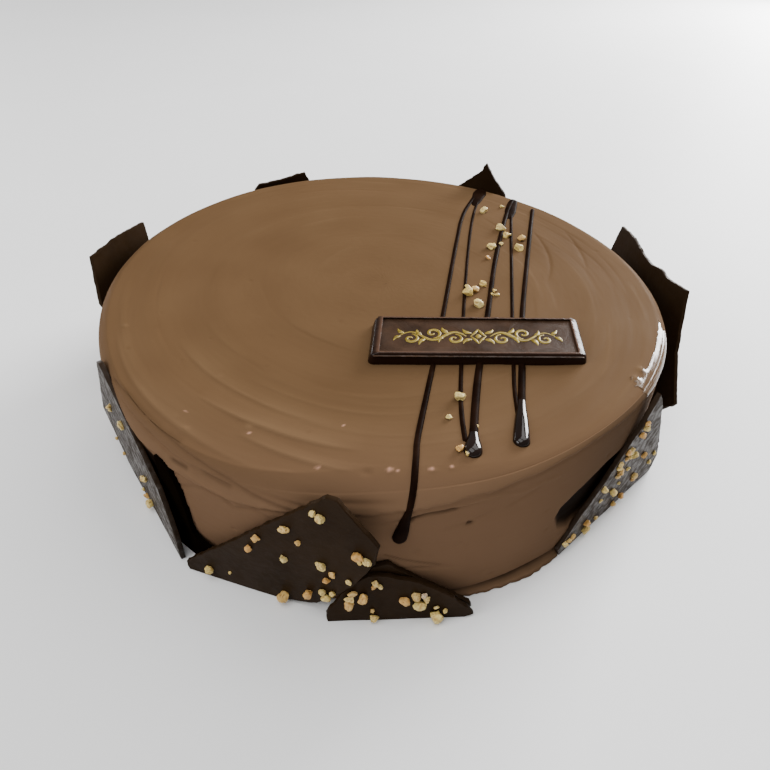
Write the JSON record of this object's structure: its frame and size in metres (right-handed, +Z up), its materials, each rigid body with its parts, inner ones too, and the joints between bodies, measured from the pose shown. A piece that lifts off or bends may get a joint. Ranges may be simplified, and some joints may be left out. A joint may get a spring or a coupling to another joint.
{
  "type": "birthday cake",
  "caption": "Round frosted chocolate cake with drizzled chocolate threads, praline crumbs, a moulded plaque and broken chocolate sheets set round its wall.",
  "frame": {"origin": "middle of the cake's flat base", "axes": "+Z up through the middle of the round, +X along the length of the plaque, -Y towards the side that the plaque is read from"},
  "size_m": [0.2646, 0.2477, 0.0737],
  "materials": {
    "frosting": "satin",
    "dark_chocolate": "satin",
    "plaque_chocolate": "gloss",
    "praline": "matte",
    "gilding": "satin"
  },
  "bodies": {
    "root": {"cake": "frosting", "plaque": "plaque_chocolate", "shard_front_left": "dark_chocolate", "shard_front": "dark_chocolate", "shard_front_behind": "dark_chocolate", "shard_left": "dark_chocolate", "shard_left_behind": "dark_chocolate", "shard_right_front": "dark_chocolate", "shard_back_left": "dark_chocolate", "shard_back": "dark_chocolate", "shard_back_tip": "dark_chocolate", "shard_right_back": "dark_chocolate"}
  },
  "joints": []
}
